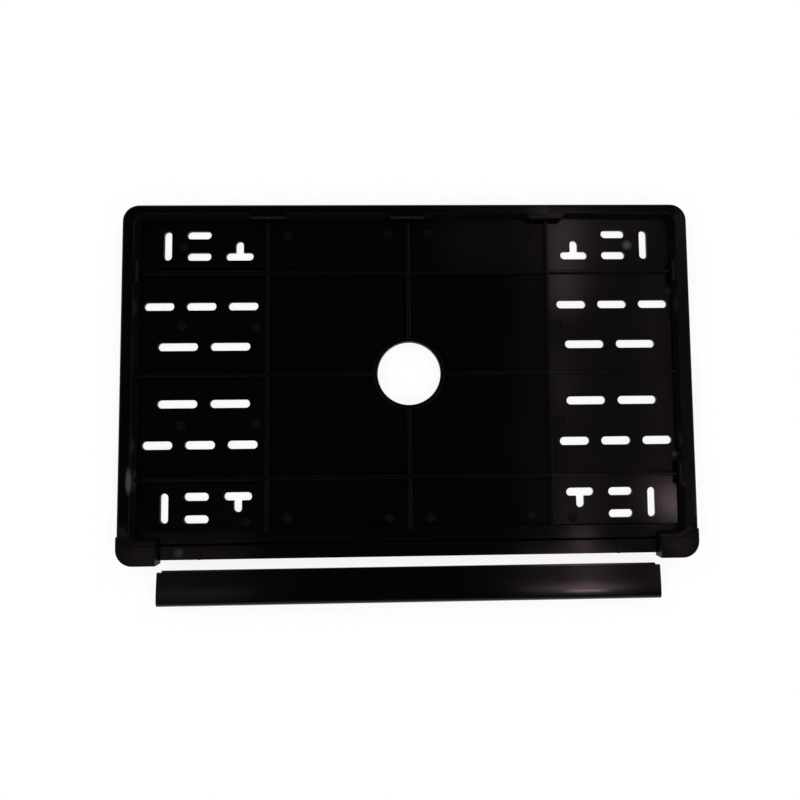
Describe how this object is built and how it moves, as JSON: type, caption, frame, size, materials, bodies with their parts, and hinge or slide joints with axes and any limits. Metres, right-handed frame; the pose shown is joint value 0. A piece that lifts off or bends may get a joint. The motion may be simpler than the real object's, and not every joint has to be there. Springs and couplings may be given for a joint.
{
  "type": "number plate holder",
  "caption": "Black moulded number plate tray with ribs, tabs, bolt slots and a round centre hole, with its clip-on retaining strip taken off and laid below the bottom edge.",
  "frame": {"origin": "axis of the centre hole, on the flat back of the tray", "axes": "+X along the plate to the right, +Y up the plate, +Z out of the face towards the reader"},
  "size_m": [0.359, 0.2495, 0.0092],
  "materials": {
    "tray_plastic": "black moulded plastic, polished",
    "strip_plastic": "black moulded plastic, polished"
  },
  "bodies": {
    "root": {"base_tray": "tray_plastic", "retaining_strip": "strip_plastic"}
  },
  "joints": []
}
